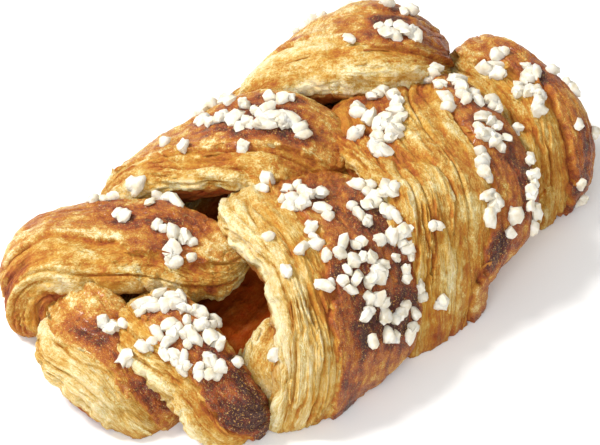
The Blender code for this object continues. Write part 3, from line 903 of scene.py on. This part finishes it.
def flake_places(surfaces, rng):
    """Points, normals and lengthwise directions for flakes, most of them where the crust is torn."""
    picked = []
    for name, (u, v, points, values) in surfaces.items():
        crust = values["crust"]
        border = np.abs(np.gradient(crust, axis=1))
        turns = v / (2 * math.pi)
        weight = (border * 4 + 0.04) * (turns > 0.05) * (turns < 0.40)
        weight = weight * ((u > 0.2) & (u < 0.8))[:, None] * (crust < 0.5)
        chance = (weight / weight.sum()).ravel()
        chosen = rng.choice(chance.size, FLAKES_A_TURN, replace=False, p=chance)
        row, column = np.unravel_index(chosen, crust.shape)
        normal = grid_normals(points)[row, column]
        ahead = np.gradient(points, axis=0)[row, column]
        ahead /= np.linalg.norm(ahead, axis=1, keepdims=True)
        spots = points[row, column]
        shown = np.ones(len(spots), bool)
        for other_name, other in TURNS.items():
            if other_name != name:
                shown &= ~buried(spots, other, -0.5)
        bake_and_shade = values["bake_and_shade"][row, column]
        picked.append(np.concatenate([spots, normal, ahead, bake_and_shade[:, None]], axis=1)[shown])
    return np.concatenate(picked)


def flake_mesh(surfaces):
    """Thin torn flakes in one mesh: curved plates with ragged ends that lift from the dough on one side."""
    rng = np.random.default_rng(SEED + 1)
    picked = flake_places(surfaces, rng)
    count = len(picked)
    spots, normals, ahead, bake_and_shade = picked[:, :3], picked[:, 3:6], picked[:, 6:9], picked[:, 9]
    swing = rng.normal(0, 0.14, count)[:, None]
    aside = np.cross(normals, ahead)
    ahead = ahead + aside * swing
    ahead /= np.linalg.norm(ahead, axis=1, keepdims=True)
    aside = np.cross(normals, ahead)
    a, b = np.meshgrid(np.linspace(-1, 1, FLAKE_GRID[0]), np.linspace(-1, 1, FLAKE_GRID[1]), indexing="ij")
    a, b = a.ravel(), b.ravel()
    long = rng.uniform(1.4, 4.2, (count, 1))
    wide = rng.uniform(0.4, 1.1, (count, 1))
    shift = rng.uniform(0, 90, (count, 1))
    ragged = 1 + 0.5 * noise(a[None] * 2.2 + shift, b[None] * 1.5, 0, SEED + 2)
    taper = np.sqrt(1.02 - 0.9 * a**2)[None]
    x = long * a[None] * (1 + 0.12 * noise(b[None] * 1.7 + shift, 0.5, 0, SEED + 3))
    y = wide * b[None] * taper * ragged
    lift = rng.uniform(0.0, 0.3, (count, 1)) * (0.5 + 0.5 * b[None]) ** 1.6
    curl = 0.3 * noise(a[None] * 1.3 + shift, 4.5, 0, SEED + 4)
    z = lift + curl * (0.5 + 0.5 * b[None]) - 0.03 * x**2
    sheets = []
    for side in (1, -1):
        height = z + side * 0.5 * FLAKE_THICKNESS
        sheet = x[..., None] * ahead[:, None] + y[..., None] * aside[:, None]
        sheets.append(sheet + height[..., None] * normals[:, None])
    points = np.concatenate(sheets, axis=1) + spots[:, None]
    rows, columns = FLAKE_GRID
    index = np.arange(rows * columns).reshape(rows, columns)
    top = np.stack([index[:-1, :-1], index[1:, :-1], index[1:, 1:], index[:-1, 1:]], -1).reshape(-1, 4)
    below = top[:, ::-1] + rows * columns
    rim = np.concatenate([index[:-1, 0], index[-1, :-1], index[:0:-1, -1], index[0, :0:-1]])
    following = np.roll(rim, -1)
    wall = np.stack([following, rim, rim + rows * columns, following + rows * columns], -1)
    pattern = np.concatenate([top, below, wall])
    faces = pattern[None] + (np.arange(count) * 2 * rows * columns)[:, None, None]
    mesh = bpy.data.meshes.new("torn_flakes")
    mesh.from_pydata((settle(points).reshape(-1, 3) * MM).tolist(), [], faces.reshape(-1, 4).tolist())
    mesh.shade_smooth()
    mesh.set_sharp_from_angle(angle=math.radians(50))
    shades = np.clip(bake_and_shade + rng.uniform(-0.20, 0.05, count), 0.05, 0.42)
    per_flake = points.shape[1]
    rim_toast = 0.10 * np.tile(np.maximum(np.abs(a), np.abs(b)) ** 3, 2)
    bakes = (shades[:, None] + rim_toast[None]).ravel()
    glossy = np.repeat(rng.uniform(0, 0.3, count), per_flake)
    numbers = {"bake_and_shade": bakes, "crust": glossy, "painted_shade": 0 * bakes, "painted_hollow_shade": 0 * bakes, "streak": 0.5 + 0 * bakes}
    for key, value in numbers.items():
        mesh.attributes.new(key, "FLOAT", "POINT").data.foreach_set("value", value)
    place = np.stack([np.tile(x, 2), np.tile(y, 2), np.tile(shift, (1, per_flake))], -1)
    mesh.attributes.new("place", "FLOAT_VECTOR", "POINT").data.foreach_set("vector", place.ravel())
    return mesh


class Shade:
    """A socket of a material. Arithmetic on it adds Math nodes."""

    def __init__(self, tree, socket=None):
        self.tree = tree
        self.socket = socket

    def node(self, kind, inputs=(), output=0, **settings):
        """Adds a node: settings first, then the values or links of its inputs."""
        made = self.tree.nodes.new(kind)
        for key, value in settings.items():
            setattr(made, key, value)
        for key, value in dict(inputs).items():
            if isinstance(value, Shade):
                self.tree.links.new(value.socket, made.inputs[key])
            else:
                made.inputs[key].default_value = value
        return Shade(self.tree, made.outputs[output])

    def calculate(self, operation, *values):
        """One Math node on shades or numbers."""
        return self.node("ShaderNodeMath", dict(enumerate(values)), operation=operation)

    def __add__(self, other):
        return self.calculate("ADD", self, other)

    def __sub__(self, other):
        return self.calculate("SUBTRACT", self, other)

    def __rsub__(self, other):
        return self.calculate("SUBTRACT", other, self)

    def __mul__(self, other):
        return self.calculate("MULTIPLY", self, other)

    __radd__ = __add__
    __rmul__ = __mul__

    def between(self, low, high, new_low=0.0, new_high=1.0):
        """Maps low..high to new_low..new_high, held at both ends."""
        inputs = {"Value": self, "From Min": low, "From Max": high, "To Min": new_low, "To Max": new_high}
        return self.node("ShaderNodeMapRange", inputs)

    def ramp(self, *stops):
        """Colour ramp with stops of (place, colour)."""
        made = self.tree.nodes.new("ShaderNodeValToRGB")
        elements = made.color_ramp.elements
        while len(elements) < len(stops):
            elements.new(0.5)
        for element, (place, colour) in zip(elements, stops):
            element.position = place
            element.color = colour
        self.tree.links.new(self.socket, made.inputs["Fac"])
        return Shade(self.tree, made.outputs["Color"])

    def mix(self, factor, other):
        """Colour mix from this colour to another."""
        made = self.tree.nodes.new("ShaderNodeMix")
        made.data_type = "RGBA"
        for place, value in zip((0, 6, 7), (factor, self, other)):
            if isinstance(value, Shade):
                self.tree.links.new(value.socket, made.inputs[place])
            else:
                made.inputs[place].default_value = value
        return Shade(self.tree, made.outputs[2])

    def attribute(self, name, output="Fac"):
        """A value that the mesh carries at its points."""
        return self.node("ShaderNodeAttribute", output=output, attribute_name=name)

    def grain(self, vector, scale, detail=3.0, roughness=0.55):
        """Noise from 0 to 1 on a vector."""
        inputs = {"Vector": vector, "Scale": scale, "Detail": detail, "Roughness": roughness}
        return self.node("ShaderNodeTexNoise", inputs)

    def stretched(self, vector, scale, turned=0.0):
        """A vector turned about its third axis and then scaled by its own factor on each."""
        if turned:
            vector = self.node("ShaderNodeMapping", {"Vector": vector, "Rotation": (0, 0, turned)})
        return self.node("ShaderNodeMapping", {"Vector": vector, "Scale": scale})


def rgb(red, green, blue):
    """Linear colour of a screen colour in steps of 255."""
    linear = []
    for level in (red, green, blue):
        share = level / 255
        linear.append(share / 12.92 if share <= 0.04045 else ((share + 0.055) / 1.055) ** 2.4)
    return (*linear, 1.0)


def new_material(name):
    """A material, its shader and a Shade to build its nodes with."""
    material = bpy.data.materials.new(name)
    material.use_nodes = True
    tree = material.node_tree
    return material, tree.nodes["Principled BSDF"], Shade(tree)


def dough_material(name, gloss):
    """Baked dough: pale stretched layers, painted shade in the gaps between them and a mottled glossy crust.
    """
    material, shader, make = new_material(name)
    spot = make.stretched(make.node("ShaderNodeTexCoord", output="Object"), (1000, 1000, 1000))
    bake_and_shade = make.attribute("bake_and_shade")
    crust = make.attribute("crust")
    painted_shade = make.attribute("painted_shade")
    painted_hollow_shade = make.attribute("painted_hollow_shade")
    streak = make.attribute("streak")
    place = make.attribute("place", "Vector")

    strands = make.grain(make.stretched(place, (0.16, 1.5, 3.0)), 1.0, 4.0)
    fibres = make.grain(make.stretched(place, (0.45, 4.0, 3.0)), 1.0, 3.0)
    blotches = make.grain(make.stretched(place, (0.10, 0.30, 2.0)), 1.0, 3.0)
    hairs = make.grain(make.stretched(place, (0.9, 4.2, 3.0), 0.55), 1.0, 3.0)
    hairs = hairs + make.grain(make.stretched(place, (0.8, 3.6, 3.0), -0.45), 1.0, 3.0)
    hairs = (hairs * 0.5).between(0.38, 0.62)
    mottle = make.grain(spot, 0.40, 5.0, 0.65).between(0.3, 0.7)
    speckle = make.grain(spot, 1.7, 3.0, 0.7).between(0.25, 0.75)
    sparkle = make.grain(spot, 3.2, 2.0, 0.6).between(0.3, 0.7)
    pale = 1 - crust

    tone = bake_and_shade + (strands - 0.5) * streak * 0.20 + (fibres - 0.5) * streak * 0.21
    feather = pale - streak
    tone = tone + (hairs - 0.5) * (pale * 0.09 + 0.05)
    tone = tone + (mottle - 0.5) * (crust * 0.32 + feather * 0.24 + 0.06)
    tone = tone + (speckle - 0.5) * (crust * 0.34 + feather * 0.26 + 0.10)
    tone = tone + (sparkle - 0.5) * (crust * 0.16 + 0.06)
    # Painted shade under sheet edges, in pockets and in cracks.
    tone = tone + painted_shade * 0.16
    colour = tone.ramp(
        (0.00, rgb(230, 218, 178)),
        (0.12, rgb(217, 196, 138)),
        (0.24, rgb(198, 162, 84)),
        (0.36, rgb(179, 122, 38)),
        (0.48, rgb(166, 92, 26)),
        (0.62, rgb(140, 62, 22)),
        (0.78, rgb(96, 36, 18)),
        (0.95, rgb(60, 26, 22)),
    )
    butter = blotches.between(0.50, 0.68) * pale * 0.42
    colour = colour.mix(butter, rgb(206, 154, 50))
    # Golden flecks on the crust: partly crumbs, partly painted glints.
    crumbs_and_glints = (speckle * 0.55 + sparkle * 0.45).between(0.60, 0.76) * (crust * 0.62 + 0.16)
    colour = colour.mix(crumbs_and_glints, rgb(224, 168, 84))
    # Painted shade in the hollows and under the turns: a dark red-brown.
    colour = colour.mix(painted_hollow_shade * mottle.between(0.0, 1.0, 1.0, 0.75), rgb(138, 46, 6))
    links = material.node_tree.links
    links.new(colour.socket, shader.inputs["Base Color"])
    rough = 0.60 - crust * 0.18 + (speckle - 0.5) * 0.3
    links.new(rough.socket, shader.inputs["Roughness"])
    coat = (crust * 0.40 + 0.04) * speckle.between(0.4, 0.8) * gloss
    links.new(coat.socket, shader.inputs["Coat Weight"])
    shader.inputs["Coat Roughness"].default_value = 0.2
    shader.inputs["Specular IOR Level"].default_value = 0.3 * gloss
    shader.inputs["Subsurface Weight"].default_value = 0.12
    shader.inputs["Subsurface Radius"].default_value = (1.0, 0.45, 0.12)
    shader.inputs["Subsurface Scale"].default_value = 0.0012
    height = (strands + fibres) * (streak * 0.5 + 0.06) + mottle * 0.10 + speckle * 0.22 + sparkle * 0.10
    height = height + hairs * 0.13
    inputs = {"Height": height, "Strength": 1.0, "Distance": DOUGH_BUMP}
    bump = make.node("ShaderNodeBump", inputs, output="Normal")
    links.new(bump.socket, shader.inputs["Normal"])
    return material


def sugar_material():
    """Pearl sugar: dull white with soft grain."""
    material, shader, make = new_material("pearl_sugar")
    spot = make.stretched(make.node("ShaderNodeTexCoord", output="Object"), (1000, 1000, 1000))
    cloud = make.grain(spot, 0.5, 3.0)
    grit = make.grain(spot, 2.6, 3.0)
    colour = cloud.between(0.35, 0.7).ramp((0.0, rgb(224, 221, 211)), (1.0, rgb(206, 194, 166)))
    links = material.node_tree.links
    links.new(colour.socket, shader.inputs["Base Color"])
    shader.inputs["Roughness"].default_value = 0.5
    shader.inputs["Subsurface Weight"].default_value = 0.35
    shader.inputs["Subsurface Radius"].default_value = (1.0, 0.9, 0.7)
    shader.inputs["Subsurface Scale"].default_value = 0.0012
    inputs = {"Height": grit, "Strength": 0.5, "Distance": SUGAR_BUMP}
    bump = make.node("ShaderNodeBump", inputs, output="Normal")
    links.new(bump.socket, shader.inputs["Normal"])
    return material


def add_light(name, position, target, size, power, colour):
    """Square soft light at a place in metres, facing a point."""
    data = bpy.data.lights.new(name, "AREA")
    data.shape = "SQUARE"
    data.size = size
    data.energy = power
    data.color = colour
    light = bpy.data.objects.new(name, data)
    bpy.context.scene.collection.objects.link(light)
    light.location = position
    facing = Vector(target) - Vector(position)
    light.rotation_euler = facing.to_track_quat("-Z", "Y").to_euler()


def studio():
    """Pale floor, soft light from above left and the camera at the photograph's angle."""
    bpy.ops.mesh.primitive_plane_add(size=6.0, location=(0, 0, -0.0002))
    floor = bpy.context.active_object
    floor.name = "floor"
    material, shader, _ = new_material("floor")
    shader.inputs["Base Color"].default_value = (0.9, 0.9, 0.9, 1.0)
    shader.inputs["Roughness"].default_value = 0.9
    floor.data.materials.append(material)

    world = bpy.data.worlds.new("studio")
    world.use_nodes = True
    background = world.node_tree.nodes["Background"]
    background.inputs["Color"].default_value = (1.0, 0.99, 0.97, 1.0)
    background.inputs["Strength"].default_value = 0.55
    bpy.context.scene.world = world

    add_light("key", (-0.35, 0.55, 0.85), (0, 0, 0.02), 0.28, 13.5, (1.0, 0.98, 0.94))
    add_light("front", (-0.6, -0.5, 0.6), (0, 0, 0.02), 0.6, 6.0, (1.0, 1.0, 1.0))

    bpy.context.scene.view_settings.view_transform = "Standard"

    aim = Vector(CAMERA_AIM)
    level = math.cos(CAMERA_ELEVATION)
    back = Vector((
        math.sin(CAMERA_AZIMUTH) * level,
        -math.cos(CAMERA_AZIMUTH) * level,
        math.sin(CAMERA_ELEVATION),
    ))
    data = bpy.data.cameras.new("camera")
    data.sensor_width = 36.0
    data.lens = CAMERA_LENS
    camera = bpy.data.objects.new("camera", data)
    bpy.context.scene.collection.objects.link(camera)
    camera.location = aim + back * CAMERA_DISTANCE
    camera.rotation_euler = (-back).to_track_quat("-Z", "Y").to_euler()
    bpy.context.scene.camera = camera


def build():
    """The ten turns, the core under them, the torn flakes and the sugar."""
    dough = dough_material("baked_dough", 1.0)
    hidden_dough = dough_material("hollow_dough", 0.1)
    surfaces = {}
    for number, (name, turn) in enumerate(TURNS.items()):
        surfaces[name] = fine_turn(name, turn, 100 * (number + 1))
        _, _, points, values = surfaces[name]
        piece_name = name.replace(" ", "_")
        add_piece(piece_name, closed_mesh(piece_name, settle(points), values), dough)
    _, _, points, values = fine_turn("core", CORE, CORE_SEED, CORE_ROWS, CORE_COLUMNS)
    add_piece("core", closed_mesh("core", settle(points), values), hidden_dough)
    add_piece("torn_flakes", flake_mesh(surfaces), dough)
    add_piece("pearl_sugar", sugar_mesh(surfaces), sugar_material())


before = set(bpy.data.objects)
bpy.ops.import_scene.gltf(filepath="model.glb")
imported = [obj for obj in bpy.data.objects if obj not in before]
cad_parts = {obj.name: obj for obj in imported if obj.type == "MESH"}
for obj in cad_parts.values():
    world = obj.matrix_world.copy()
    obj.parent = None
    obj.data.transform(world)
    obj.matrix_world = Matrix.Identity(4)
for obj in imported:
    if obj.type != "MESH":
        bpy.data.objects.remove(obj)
CAD_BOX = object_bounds()
build()
studio()
